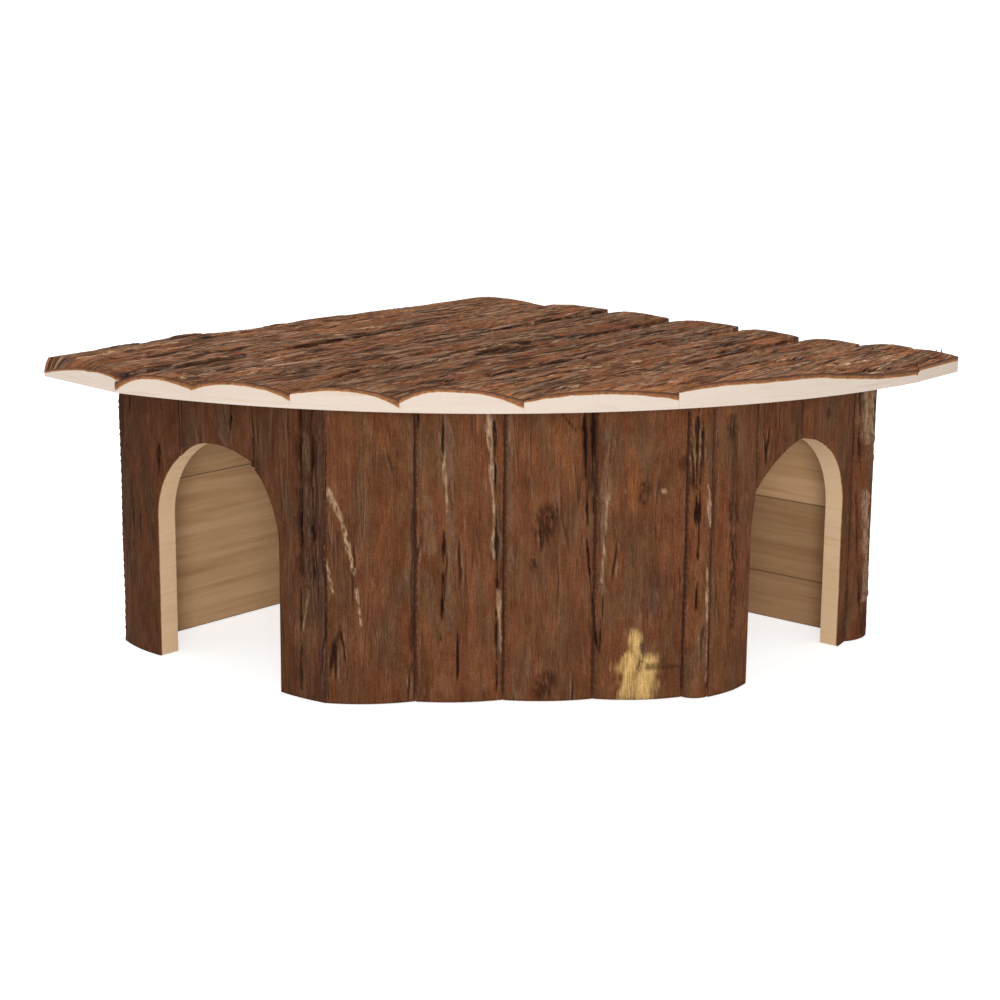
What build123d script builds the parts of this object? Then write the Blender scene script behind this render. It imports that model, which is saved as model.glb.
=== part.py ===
from build123d import *
import os
from math import sqrt

os.makedirs("parts", exist_ok=True)

# Rodent house for a cage corner, in millimetres.
# A quarter-round roof of bark-covered slabs lies on five walls: two plain board walls that meet at
# a right angle at the back, two slab walls with an arched doorway each, and a slab wall between them.
# X and Y follow the two back walls. The left tip of the roof points to -X, the right tip to -Y,
# and the front wall looks out between them. The origin is at floor level, under the roof's middle.

# Plan sizes, measured from the outer back corner of the walls
left_run = 257.5
right_run = 262.8
front_width = 170.8
wall_height = 133.0

# Thicknesses
slab_thickness = 11.5
board_thickness = 8.0
slab_gap = 0.5

# Boards of the back walls, lower edges from the floor
left_board_joint = 76.0
right_board_low_joint = 23.0
right_board_high_joint = 61.5

# Wall slabs, widths in order from the left, spread in proportion over the length of their wall
left_door_slab_widths = (48.0, 48.0, 46.0)
front_slab_widths = (39.8, 38.7, 39.6, 40.2, 12.5)
right_door_slab_widths = (34.6, 36.0, 46.0, 20.1)

# How far each slab's bark falls back at its left edge, crown and right edge
left_door_slab_falls = ((6.2, 0.8, 2.6), (3.2, 0.4, 3.4), (2.4, 0.0, 2.2))
front_slab_falls = ((2.4, 0.0, 3.0), (2.6, 0.5, 3.2), (2.8, 0.2, 2.6), (2.6, 0.0, 3.4), (3.0, 1.0, 3.0))
right_door_slab_falls = ((2.4, 0.0, 2.8), (3.2, 0.3, 3.0), (2.8, 0.2, 3.4), (3.4, 0.6, 3.4))

# Arched doorways, shifted from the middle of their wall towards the front
door_top = 107.0
left_door_radius = 41.0
left_door_shift = 2.6
right_door_radius = 39.0
right_door_shift = -0.15

# Roof overhangs past the walls' outer faces, and the width of its straight ends
front_overhang = 21.1
left_back_overhang = 2.6
rear_overhang_at_corner = 18.6
rear_overhang_at_tip = 9.4
left_tip_overhang = 33.5
left_end_overhang = 39.0
left_end_width = 54.0
right_tip_overhang = 33.7
right_end_overhang = 35.0
right_end_width = 30.0

# Roof slabs, widths in order from the left back wall, spread in proportion over the roof
roof_front_widths = (56.4, 40.3, 43.6, 40.9, 41.9, 49.9, 27.4)
roof_rear_widths = (41.6, 44.0, 41.2, 44.8, 36.8, 35.0, 57.0)
roof_joint_gap = 0.4

# Heights over the wall top at the left edge, crown and right edge of each roof slab, bark included
roof_front_heights = (
    (8.6, 10.0, 7.8),
    (4.4, 9.6, 7.4),
    (7.6, 10.2, 6.4),
    (6.8, 10.2, 5.6),
    (6.6, 11.2, 5.8),
    (5.8, 9.6, 6.6),
    (7.8, 11.2, 4.4),
)
roof_rear_heights = (
    (8.4, 8.8, 6.4),
    (6.2, 8.8, 8.6),
    (6.4, 8.9, 8.0),
    (5.4, 8.8, 8.4),
    (5.8, 8.0, 6.9),
    (4.6, 7.6, 7.1),
    (6.4, 8.8, 6.4),
)
# Where the crown lies, as a share of each slab's width from its left edge
roof_front_crowns = (0.45, 0.56, 0.47, 0.44, 0.38, 0.48, 0.35)
roof_rear_crowns = (0.40, 0.55, 0.42, 0.50, 0.42, 0.50, 0.35)
tip_heights = (6.6, 8.6, 6.8)
tip_crown = 0.5
tip_rear_width = 25.8

# Deep cracks in the roof's bark: slab, share of its width, and the shares of its length that it runs between
bark_cracks = (
    (1, 0.28, 0.13, 0.88),
    (2, 0.62, 0.30, 0.60),
    (3, 0.62, 0.35, 0.84),
    (4, 0.62, 0.08, 0.86),
    (5, 0.45, 0.42, 0.76),
    (5, 0.76, 0.14, 0.38),
    (6, 0.40, 0.40, 0.74),
    (6, 0.76, 0.20, 0.50),
    (7, 0.60, 0.40, 0.72),
)
bark_crack_depth = 1.4
bark_crack_spread = 2.6
bark_crack_rise = 1.0

# Limits used while the roof is shaped
outline_height = 20.0
end_margin = 3.5
solving_rounds = 12
tip_margin = 10.0

# Battens under the roof, in the back corner and along the foot of the front wall
batten_depth = 14.0
batten_height = 18.0
foot_batten_rise = 5.0

# Brads: rectangular wire, driven until the head is under the bark
brad_width = 1.2
brad_length = 20.0
roof_head_height = 5.5
slab_head_depth = 3.0
board_end_head_depth = 8.0
batten_brad_drop = 9.0
brad_side_step = 12.0
corner_brad_shift = 5.0
batten_brad_runs = (90.0, 175.0)
right_door_brad_step = 12.0
left_row_count = 3

# Derived places
mitre = sqrt(2) - 1
diagonal = sqrt(2)
left_front_corner = right_run - front_width / diagonal
right_front_corner = left_run - front_width / diagonal
front_reach = (left_run + left_front_corner) / diagonal
left_inner = left_run - slab_thickness
right_inner = right_run - slab_thickness
front_inner = front_reach - slab_thickness
left_door_centre = left_front_corner / 2 + left_door_shift
right_door_centre = right_front_corner / 2 + right_door_shift
roof_reach = front_reach + front_overhang
left_tip_run = left_run + left_tip_overhang
left_end_run = left_run + left_end_overhang
right_tip_run = right_run + right_tip_overhang
right_end_run = right_run + right_end_overhang
tip_joint_rear_run = right_end_run - tip_rear_width
corner_x = (max(left_tip_run, left_end_run) - rear_overhang_at_corner) / 2
corner_y = (max(right_tip_run, right_end_run) - left_back_overhang) / 2
front_station = left_end_run + end_margin
rear_station = -rear_overhang_at_corner - end_margin


def spot(left, right, z=0.0):
    """Point at two distances from the walls' back corner, towards the left tip and the right tip."""
    return (corner_x - left, corner_y - right, z)


def finish_piece(piece, name):
    piece.part.label = name
    export_step(piece.part, f"parts/{name}.step")


# Walls made of slabs: local X runs from left to right along the outer face, local Y runs inwards
left_door_plan = Plane(origin=spot(left_run, 0), x_dir=(0, -1, 0), z_dir=(0, 0, 1))
front_plan = Plane(origin=spot(left_run, left_front_corner), x_dir=(1, -1, 0), z_dir=(0, 0, 1))
right_door_plan = Plane(origin=spot(right_front_corner, right_run), x_dir=(1, 0, 0), z_dir=(0, 0, 1))
left_door_face = Plane(origin=spot(left_run, 0), x_dir=(0, -1, 0), z_dir=(-1, 0, 0))
front_face = Plane(origin=spot(left_run, left_front_corner), x_dir=(1, -1, 0), z_dir=(-1, -1, 0))
right_door_face = Plane(origin=spot(right_front_corner, right_run), x_dir=(1, 0, 0), z_dir=(0, -1, 0))
left_back_face = Plane(origin=spot(0, 0), x_dir=(-1, 0, 0), z_dir=(0, 1, 0))
right_back_face = Plane(origin=spot(0, 0), x_dir=(0, 1, 0), z_dir=(1, 0, 0))


def slab_edges(widths, length, start=0.0):
    """Left and right edge of each slab, spread in proportion over a length."""
    edges = [start]
    for width in widths:
        edges.append(edges[-1] + width * length / sum(widths))
    return list(zip(edges[:-1], edges[1:]))


left_door_slabs = slab_edges(left_door_slab_widths, left_front_corner)
front_slabs = slab_edges(front_slab_widths, front_width)
right_door_slabs = slab_edges(right_door_slab_widths, right_front_corner)
roof_width = left_back_overhang + right_end_run
roof_slabs_front = slab_edges(roof_front_widths, roof_width, -left_back_overhang)
roof_slabs_rear = slab_edges(roof_rear_widths, roof_width, -left_back_overhang)
last_slab = len(roof_slabs_front) - 1


def middle(edges):
    return (edges[0] + edges[1]) / 2


# Roof outline: straight ends at both tips and one arc between them
with BuildSketch(Plane.XY.offset(wall_height)) as roof_outline:
    with BuildLine():
        Polyline(
            spot(left_end_run, left_end_width),
            spot(left_tip_run, -left_back_overhang),
            spot(-rear_overhang_at_corner, -left_back_overhang),
            spot(-rear_overhang_at_tip, right_tip_run),
            spot(right_end_width, right_end_run),
        )
        ThreePointArc(
            spot(right_end_width, right_end_run),
            spot(roof_reach / diagonal, roof_reach / diagonal),
            spot(left_end_run, left_end_width),
        )
    make_face()

# Corner of the roof at the right tip, where a short piece fills the last slab out
tip_slope = (right_end_run - tip_joint_rear_run) / (right_end_width + rear_overhang_at_tip)
with BuildSketch(Plane.XY.offset(wall_height)) as tip_outline:
    with BuildLine():
        Polyline(
            spot(right_end_width + tip_margin, right_end_run + tip_margin * tip_slope),
            spot(-rear_overhang_at_tip - tip_margin, tip_joint_rear_run - tip_margin * tip_slope),
            spot(-rear_overhang_at_tip - tip_margin, right_end_run + tip_margin * tip_slope),
            close=True,
        )
    make_face()


def slab_sides(number, station):
    """Left and right side of a roof slab at a station, as distances from the left back wall."""
    share = (station - rear_station) / (front_station - rear_station)
    rear_left, rear_right = roof_slabs_rear[number]
    front_left, front_right = roof_slabs_front[number]
    left = rear_left + share * (front_left - rear_left)
    right = rear_right + share * (front_right - rear_right)
    if number > 0:
        left += roof_joint_gap / 2
    if number < last_slab:
        right -= roof_joint_gap / 2
    return left, right


def crowned_profile(left, right, heights, crown_share):
    """Section of a slab: flat below, upright sides, and bark that falls from its crown in two arcs."""
    crown = (left + crown_share * (right - left), heights[1])
    with BuildSketch() as profile:
        with BuildLine():
            Polyline((left, heights[0]), (left, 0), (right, 0), (right, heights[2]))
            TangentArc(crown, (right, heights[2]), tangent=(1, 0))
            TangentArc(crown, (left, heights[0]), tangent=(-1, 0))
        make_face()
    return profile.sketch


def roof_section(station):
    return Plane(origin=spot(station, 0, wall_height), x_dir=(0, -1, 0), z_dir=(-1, 0, 0))


# Brads of the roof: one row near the rear ends, one row into the battens and wall tops at the front
rear_row = batten_depth / 2 + board_thickness
roof_brad_spots = []
for number in range(last_slab):
    left, right = slab_sides(number, rear_row)
    inside = max(left, board_thickness + batten_depth)
    roof_brad_spots.append((rear_row, (inside + right) / 2))
left_row = left_inner - batten_depth / 2
for number in range(left_row_count):
    left, right = slab_sides(number, left_row)
    inside_left = max(left, board_thickness)
    inside_right = min(right, left_front_corner - batten_depth)
    roof_brad_spots.append((left_row, (inside_left + inside_right) / 2))
front_row = (front_inner - batten_depth / 2) * diagonal
for number in range(left_row_count, last_slab):
    left, right = slab_sides(number, front_row / 2)
    roof_brad_spots.append((front_row - (left + right) / 2, (left + right) / 2))
wall_top_row = right_run - slab_thickness / 2
for step in (-right_door_brad_step, right_door_brad_step):
    roof_brad_spots.append((right_door_centre + step, wall_top_row))

with BuildPart() as roof_brads:
    with BuildSketch(Plane.XY.offset(wall_height + roof_head_height)):
        with Locations(*[spot(left, right) for left, right in roof_brad_spots]):
            Rectangle(brad_width, brad_width)
    extrude(amount=-brad_length)

# Brads of the slab walls: into the battens under the roof, into the foot batten and into board ends
top_brad_height = wall_height - batten_brad_drop
foot_brad_height = foot_batten_rise + batten_height / 2
left_board_heights = (left_board_joint / 4, left_board_joint * 3 / 4, (left_board_joint + wall_height) / 2)
right_board_heights = (
    right_board_low_joint / 2,
    (right_board_low_joint + right_board_high_joint) / 2,
    (right_board_high_joint + wall_height) / 2,
)
foot_end_left = left_front_corner - slab_thickness * mitre - batten_depth / 2
foot_end_right = right_front_corner - slab_thickness * mitre - batten_depth / 2

left_door_brads = [(middle(edges) + brad_side_step, top_brad_height) for edges in left_door_slabs]
left_door_brads += [(foot_end_left, foot_brad_height)]
left_board_end_brads = [(board_thickness / 2, height) for height in left_board_heights]
front_brads = [(middle(edges), top_brad_height) for edges in front_slabs]
front_brads += [(middle(edges), foot_brad_height) for edges in front_slabs]
right_door_brads = [(middle(edges), top_brad_height) for edges in right_door_slabs]
right_door_brads += [(right_front_corner - foot_end_right, foot_brad_height)]
right_board_end = right_front_corner - board_thickness / 2
right_board_end_brads = [(right_board_end, height) for height in right_board_heights]

with BuildPart() as wall_brads:
    for face, places, head_depth in (
        (left_door_face, left_door_brads, slab_head_depth),
        (left_door_face, left_board_end_brads, board_end_head_depth),
        (front_face, front_brads, slab_head_depth),
        (right_door_face, right_door_brads, slab_head_depth),
        (right_door_face, right_board_end_brads, board_end_head_depth),
    ):
        with BuildSketch(face.offset(-head_depth)):
            with Locations(*places):
                Rectangle(brad_width, brad_width)
        extrude(amount=-brad_length)

# Brads of the back boards: into the corner post and into the battens under the roof
post_middle = board_thickness + batten_depth / 2
left_back_brads = [(post_middle, height + corner_brad_shift) for height in left_board_heights]
left_back_brads += [(run, top_brad_height) for run in batten_brad_runs]
right_back_brads = [(-post_middle, height - corner_brad_shift) for height in right_board_heights]
right_back_brads += [(-run, top_brad_height) for run in batten_brad_runs]

with BuildPart() as board_brads:
    for face, places in ((left_back_face, left_back_brads), (right_back_face, right_back_brads)):
        with BuildSketch(face):
            with Locations(*places):
                Rectangle(brad_width, brad_width)
        extrude(amount=-brad_length)

finish_piece(roof_brads, "roof_brads")
finish_piece(wall_brads, "wall_brads")
finish_piece(board_brads, "board_brads")


def front_end(number):
    """Station a little beyond the one where a roof slab's left side meets the arc of the outline."""
    station = front_station
    for attempt in range(solving_rounds):
        left_side = max(slab_sides(number, station)[0], 0.0)
        station = sqrt(roof_reach**2 - left_side**2)
    return min(station + end_margin, front_station)


def bark_height(number, share, run_share):
    """Height of a roof slab's bark over the wall tops, at shares of its width and length."""
    left, top, right = [
        rear + run_share * (front - rear)
        for rear, front in zip(roof_rear_heights[number], roof_front_heights[number])
    ]
    crown = roof_rear_crowns[number] + run_share * (roof_front_crowns[number] - roof_rear_crowns[number])
    if share < crown:
        return top - (top - left) * ((crown - share) / crown) ** 2
    return top - (top - right) * ((share - crown) / (1 - crown)) ** 2


def bark_crack(number, share, start, end):
    """Crack along a roof slab, deepest halfway and running out at both ends."""

    def surface_place(run_share):
        station = rear_station + run_share * (front_end(number) - rear_station)
        left, right = slab_sides(number, station)
        return station, left + share * (right - left), bark_height(number, share, run_share)

    station, centre, height = surface_place((start + end) / 2)
    with BuildPart() as crack:
        with BuildSketch(roof_section(station)) as mouth:
            with BuildLine():
                Polyline(
                    (centre - bark_crack_spread, height + bark_crack_rise),
                    (centre + bark_crack_spread, height + bark_crack_rise),
                    (centre, height - bark_crack_depth),
                    close=True,
                )
            make_face()
        for run_share in (start, end):
            tip_station, tip_centre, tip_height = surface_place(run_share)
            tip = Vertex(*spot(tip_station, tip_centre, wall_height + tip_height))
            loft(sections=[mouth.sketch.face(), tip], ruled=True)
    return crack.part


# Roof slabs, lofted from the rear end to the front end and sawn to the outline together
for number in range(last_slab + 1):
    rear = (rear_station, roof_rear_heights[number], roof_rear_crowns[number])
    front = (front_end(number), roof_front_heights[number], roof_front_crowns[number])
    with BuildPart() as roof_slab:
        for station, heights, crown_share in (rear, front):
            with BuildSketch(roof_section(station)):
                add(crowned_profile(*slab_sides(number, station), heights, crown_share))
        loft(ruled=True)
        extrude(roof_outline.sketch, amount=outline_height, mode=Mode.INTERSECT)
        if number == last_slab:
            extrude(tip_outline.sketch, amount=outline_height, mode=Mode.SUBTRACT)
        add(roof_brads.part, mode=Mode.SUBTRACT)
        for slab, share, start, end in bark_cracks:
            if slab == number + 1:
                add(bark_crack(number, share, start, end), mode=Mode.SUBTRACT)
    finish_piece(roof_slab, f"roof_slab_{number + 1}")

# Short piece at the right tip, glued to the last slab
with BuildPart() as roof_tip:
    with BuildSketch(roof_section(right_end_width + tip_margin)):
        add(crowned_profile(tip_joint_rear_run - tip_margin, right_end_run, tip_heights, tip_crown))
    extrude(amount=-(right_end_width + rear_overhang_at_corner + tip_margin))
    extrude(roof_outline.sketch, amount=outline_height, mode=Mode.INTERSECT)
    extrude(tip_outline.sketch, amount=outline_height, mode=Mode.INTERSECT)
finish_piece(roof_tip, "roof_tip")


def wall_slab_profile(edges, falls, left_mitre, right_mitre):
    """Plan of a wall slab: flat inside, sides square or mitred, and bark in a shallow arc outside."""
    left = edges[0] + slab_gap / 2
    right = edges[1] - slab_gap / 2
    left_edge = (left + left_mitre * falls[0], falls[0])
    right_edge = (right - right_mitre * falls[2], falls[2])
    inner_left = (left + left_mitre * slab_thickness, slab_thickness)
    inner_right = (right - right_mitre * slab_thickness, slab_thickness)
    with BuildSketch() as profile:
        with BuildLine():
            Polyline(left_edge, inner_left, inner_right, right_edge)
            ThreePointArc(right_edge, ((left + right) / 2, falls[1]), left_edge)
        make_face()
    return profile.sketch


def doorway(face, centre, radius):
    """Solid of an arched doorway, which is cut from every slab that stands in it."""
    with BuildPart() as cutter:
        with BuildSketch(face):
            with Locations((centre, door_top - radius)):
                Circle(radius)
            with Locations((centre, (door_top - radius) / 2)):
                Rectangle(2 * radius, door_top - radius)
        extrude(amount=slab_thickness * 2, both=True)
    return cutter.part


left_doorway = doorway(left_door_face, left_door_centre, left_door_radius)
right_doorway = doorway(right_door_face, right_front_corner - right_door_centre, right_door_radius)


# Left door wall, whose first slab covers the ends of the left back boards
for number, (edges, falls) in enumerate(zip(left_door_slabs, left_door_slab_falls)):
    with BuildPart() as door_slab:
        with BuildSketch(left_door_plan):
            right_mitre = mitre if edges == left_door_slabs[-1] else 0
            add(wall_slab_profile(edges, falls, 0, right_mitre))
        extrude(amount=wall_height)
        add(left_doorway, mode=Mode.SUBTRACT)
        add(wall_brads.part, mode=Mode.SUBTRACT)
    finish_piece(door_slab, f"left_door_slab_{number + 1}")

# Front wall, mitred to the door walls at both ends
for number, (edges, falls) in enumerate(zip(front_slabs, front_slab_falls)):
    with BuildPart() as front_slab:
        with BuildSketch(front_plan):
            left_mitre = mitre if edges == front_slabs[0] else 0
            right_mitre = mitre if edges == front_slabs[-1] else 0
            add(wall_slab_profile(edges, falls, left_mitre, right_mitre))
        extrude(amount=wall_height)
        add(wall_brads.part, mode=Mode.SUBTRACT)
    finish_piece(front_slab, f"front_slab_{number + 1}")

# Right door wall, whose last slab covers the ends of the right back boards
for number, (edges, falls) in enumerate(zip(right_door_slabs, right_door_slab_falls)):
    with BuildPart() as door_slab:
        with BuildSketch(right_door_plan):
            left_mitre = mitre if edges == right_door_slabs[0] else 0
            add(wall_slab_profile(edges, falls, left_mitre, 0))
        extrude(amount=wall_height)
        add(right_doorway, mode=Mode.SUBTRACT)
        add(wall_brads.part, mode=Mode.SUBTRACT)
        add(roof_brads.part, mode=Mode.SUBTRACT)
    finish_piece(door_slab, f"right_door_slab_{number + 1}")


def upright_board(near, far, bottom, top, name):
    """Board of a back wall between two opposite plan corners, with its brads' holes."""
    with BuildPart() as board:
        with BuildSketch(Plane.XY.offset(bottom)):
            with BuildLine():
                Polyline(
                    spot(near[0], near[1]),
                    spot(far[0], near[1]),
                    spot(far[0], far[1]),
                    spot(near[0], far[1]),
                    close=True,
                )
            make_face()
        extrude(amount=top - bottom)
        add(board_brads.part, mode=Mode.SUBTRACT)
        add(wall_brads.part, mode=Mode.SUBTRACT)
        add(roof_brads.part, mode=Mode.SUBTRACT)
    finish_piece(board, name)


# Back walls: the right boards run past the ends of the left boards
left_board_near = (board_thickness, 0)
left_board_far = (left_inner, board_thickness)
upright_board(left_board_near, left_board_far, 0, left_board_joint, "left_back_board_lower")
upright_board(left_board_near, left_board_far, left_board_joint, wall_height, "left_back_board_upper")
right_board_near = (0, 0)
right_board_far = (board_thickness, right_inner)
upright_board(right_board_near, right_board_far, 0, right_board_low_joint, "right_back_board_lower")
upright_board(
    right_board_near,
    right_board_far,
    right_board_low_joint,
    right_board_high_joint,
    "right_back_board_middle",
)
upright_board(
    right_board_near,
    right_board_far,
    right_board_high_joint,
    wall_height,
    "right_back_board_upper",
)

# Post in the back corner and battens along the back walls
post_far = board_thickness + batten_depth
batten_bottom = wall_height - batten_height
upright_board((board_thickness, board_thickness), (post_far, post_far), 0, wall_height, "back_corner_post")
upright_board(
    (post_far, board_thickness),
    (left_inner - batten_depth, post_far),
    batten_bottom,
    wall_height,
    "left_back_batten",
)
upright_board(
    (board_thickness, post_far),
    (post_far, right_inner - batten_depth),
    batten_bottom,
    wall_height,
    "right_back_batten",
)


def cross_batten(corners, bottom, name):
    """Batten with ends cut to the walls it runs between."""
    with BuildPart() as batten:
        with BuildSketch(Plane.XY.offset(bottom)):
            with BuildLine():
                Polyline(*[spot(left, right) for left, right in corners], close=True)
            make_face()
        extrude(amount=batten_height)
        add(wall_brads.part, mode=Mode.SUBTRACT)
        add(roof_brads.part, mode=Mode.SUBTRACT)
    finish_piece(batten, name)


# Battens over the doorways run up to the front wall; the front battens lie between the other pieces
front_line = front_inner * diagonal
batten_line = (front_inner - batten_depth) * diagonal
left_rail = left_inner - batten_depth
right_rail = right_inner - batten_depth
cross_batten(
    (
        (left_inner, board_thickness),
        (left_inner, front_line - left_inner),
        (left_rail, front_line - left_rail),
        (left_rail, board_thickness),
    ),
    batten_bottom,
    "left_door_batten",
)
cross_batten(
    (
        (board_thickness, right_inner),
        (front_line - right_inner, right_inner),
        (front_line - right_rail, right_rail),
        (board_thickness, right_rail),
    ),
    batten_bottom,
    "right_door_batten",
)
cross_batten(
    (
        (left_rail, front_line - left_rail),
        (left_rail, batten_line - left_rail),
        (batten_line - right_rail, right_rail),
        (front_line - right_rail, right_rail),
    ),
    batten_bottom,
    "front_top_batten",
)
cross_batten(
    (
        (left_inner, front_line - left_inner),
        (left_inner, batten_line - left_inner),
        (batten_line - right_inner, right_inner),
        (front_line - right_inner, right_inner),
    ),
    foot_batten_rise,
    "front_foot_batten",
)
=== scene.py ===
import math

import bmesh
import bpy
import numpy as np
from mathutils import Matrix, Vector
from mathutils.bvhtree import BVHTree
from mathutils.geometry import delaunay_2d_cdt
from mathutils.kdtree import KDTree


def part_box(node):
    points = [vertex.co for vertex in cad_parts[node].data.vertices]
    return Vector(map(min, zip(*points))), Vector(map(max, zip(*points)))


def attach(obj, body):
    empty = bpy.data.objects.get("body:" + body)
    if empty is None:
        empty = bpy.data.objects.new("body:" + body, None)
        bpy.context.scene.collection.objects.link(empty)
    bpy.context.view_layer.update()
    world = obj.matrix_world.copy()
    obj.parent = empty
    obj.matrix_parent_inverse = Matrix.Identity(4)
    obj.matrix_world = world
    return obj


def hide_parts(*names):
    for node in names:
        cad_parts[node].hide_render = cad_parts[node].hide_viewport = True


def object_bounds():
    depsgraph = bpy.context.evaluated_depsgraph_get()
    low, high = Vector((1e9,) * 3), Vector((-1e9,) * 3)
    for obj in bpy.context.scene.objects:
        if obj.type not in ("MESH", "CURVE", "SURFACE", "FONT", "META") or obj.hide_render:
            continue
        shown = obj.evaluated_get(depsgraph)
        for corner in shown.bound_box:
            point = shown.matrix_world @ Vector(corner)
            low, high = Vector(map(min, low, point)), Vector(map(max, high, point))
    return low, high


# Rodent house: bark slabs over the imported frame, in metres, with +Z up.
# Mesh work on a slab is done in millimetres: across the grain, along the grain, and out of the bark.

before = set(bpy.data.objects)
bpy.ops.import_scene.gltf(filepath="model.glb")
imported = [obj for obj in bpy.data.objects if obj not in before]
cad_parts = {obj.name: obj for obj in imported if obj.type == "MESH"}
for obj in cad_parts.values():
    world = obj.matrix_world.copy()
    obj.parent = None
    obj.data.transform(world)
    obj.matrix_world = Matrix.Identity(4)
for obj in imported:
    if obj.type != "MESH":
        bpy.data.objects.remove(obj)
cad_low, cad_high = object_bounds()

MM = 0.001

# Grid of a slab's bark, and the longest stretch of its edge
ACROSS_STEP = 0.5
ALONG_STEP = 1.6
EDGE_STEP = 0.8
GRAIN_STRETCH = ALONG_STEP / ACROSS_STEP

# Thickness of the bark where the saw cut through a slab, the width over which it changes beside a joint, and
# the least that a slab keeps over its inner face
BARK_LAYER = 2.0
WALL_BANDS = (1.0, 1.0, 1.0)
BAND_REACH = 12
LEAST_THICKNESS = 1.2

# How far a piece's side moves out, so that the joint between two solids all but closes
WALL_JOINT = 0.248
ROOF_JOINT = 0.198
TIP_JOINT = 0.05
GLUED_JOINT = 0.045

# Greatest distance from a glued neighbour, start of the rays over a slab, and depth that marks its inner face
GLUE_REACH = 1.0
RAY_START = 5
INNER_FACE = 6.0

# Roughness of the bark's relief and colour, and the step between the slabs' seeds
WALL_ROUGH = 0.3
ROOF_ROUGH = 1.0
SEED_STEP = 7

# The walls' outer back corner, from which places on the object are measured
corner_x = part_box("right_back_board_upper")[1][0] / MM
corner_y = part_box("left_back_board_upper")[1][1] / MM


# Smooth noise on a plane, the same on every run


def lattice_angle(column, row, seed):
    """Pseudo-random angle at each lattice point."""
    mixed = column.astype(np.int64) * 73856093 ^ row.astype(np.int64) * 19349663 ^ (seed * 83492791)
    mixed = (mixed ^ (mixed >> 13)) * 1274126177
    mixed = mixed ^ (mixed >> 16)
    return (mixed & 65535) / 65536.0 * 2 * math.pi


def noise(x, y, seed):
    """Gradient noise, roughly from -1 to 1."""
    column, row = np.floor(x), np.floor(y)
    fx, fy = x - column, y - row
    blend_x = fx * fx * fx * (fx * (fx * 6 - 15) + 10)
    blend_y = fy * fy * fy * (fy * (fy * 6 - 15) + 10)

    def corner(step_x, step_y):
        angle = lattice_angle(column + step_x, row + step_y, seed)
        return np.cos(angle) * (fx - step_x) + np.sin(angle) * (fy - step_y)

    low = corner(0, 0) * (1 - blend_x) + corner(1, 0) * blend_x
    high = corner(0, 1) * (1 - blend_x) + corner(1, 1) * blend_x
    return (low * (1 - blend_y) + high * blend_y) * 1.5


def layered(x, y, seed, layers=3):
    """Sum of noise at doubling frequencies."""
    total = np.zeros_like(x)
    for layer in range(layers):
        total += noise(x * 2**layer, y * 2**layer, seed + 31 * layer) * 0.55**layer
    return total


def ramp(value, start, end):
    """Smooth step from 0 to 1."""
    share = np.clip((value - start) / (end - start), 0.0, 1.0)
    return share * share * (3 - 2 * share)


def shown(red, green, blue):
    """Linear colour of a colour given as it looks on a screen, from 0 to 255."""
    values = []
    for value in (red, green, blue):
        value = value / 255
        values.append(value / 12.92 if value <= 0.04045 else ((value + 0.055) / 1.055) ** 2.4)
    return (*values, 1.0)


def mixed(first, second, share):
    """Blend of two colours, each one colour or one for each point."""
    share = np.clip(share, 0.0, 1.0)[:, None]
    return np.asarray(first)[..., :3] * (1 - share) + np.asarray(second)[..., :3] * share


# Bark: relief in millimetres and colour

# DEEP, DARK and SPLIT also serve as painted shade, and PALE as a painted highlight, in the bark's cracks,
# hollows, joints and ridges
DEEP = shown(32, 17, 10)
DARK = shown(72, 42, 28)
BROWN = shown(106, 67, 45)
RED = shown(116, 70, 48)
OLIVE = shown(104, 76, 55)
LIGHT = shown(142, 98, 70)
GREY = shown(122, 94, 76)
PALE = shown(192, 160, 132)
ORANGE = shown(154, 98, 58)
GOLD = shown(222, 182, 122)
SPLIT = shown(40, 23, 15)
WARMTH = np.array((1.0, 0.97, 0.85))

# Colour of each kind of mark, and how much of the bark's own colour it covers. The dark of cracks and dips is
# painted shade in their hollows, and the pale of ridges is a painted highlight
MARKS = {
    "crack": (DEEP, 0.95),
    "flake": (shown(164, 138, 114), 0.85),
    "strip": (shown(172, 140, 122), 0.8),
    "dip": (DARK, 0.7),
    "knot": (DEEP, 0.68),
    "ridge": (PALE, 0.75),
    "scratch": (PALE, 0.9),
    "grey": (GREY, 0.7),
    "orange": (ORANGE, 0.32),
    "bare": (GOLD, 0.95),
    "purple": (shown(84, 58, 52), 0.5),
}


def drawn_out(along, rough):
    """Place along the grain by which rough bark has longer strands."""
    return along / (1 + 0.8 * rough)


def bark_relief(line, across, along, seed, rough):
    """Undulating bark with plates that end in small steps, cracks, furrows and strands."""
    along = drawn_out(along, rough)
    rolls = layered(line / 15, along / 90, seed + 2, 2)
    field = layered(line / 7.5, along / 36, seed + 5, 4)
    plates = 0.5 * ramp(field, 0.0, 0.05) + 0.4 * ramp(field, 0.3, 0.36) + 0.4 * ramp(field, -0.36, -0.3)
    gate = ramp(noise(across / 14, along / 34, seed + 8), 0.5 - 0.5 * rough, 0.8 - 0.5 * rough)
    cracks = np.exp(-((noise(line / 5.8, along / 52, seed + 7) / 0.09) ** 2)) * gate
    furrows = np.exp(-((noise(line / 2.6, along / 22, seed + 9) / 0.12) ** 2))
    strands = noise(line / 1.5, along / 12, seed + 4)
    grit = noise(line / 1.3, along / 2.8, seed + 10)
    height = 0.26 * rolls + 0.6 * rough * plates - (0.4 + 0.4 * rough) * cracks - 0.24 * rough * furrows
    height += (0.03 + 0.1 * rough) * strands + 0.07 * grit
    return height, field, cracks


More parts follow.
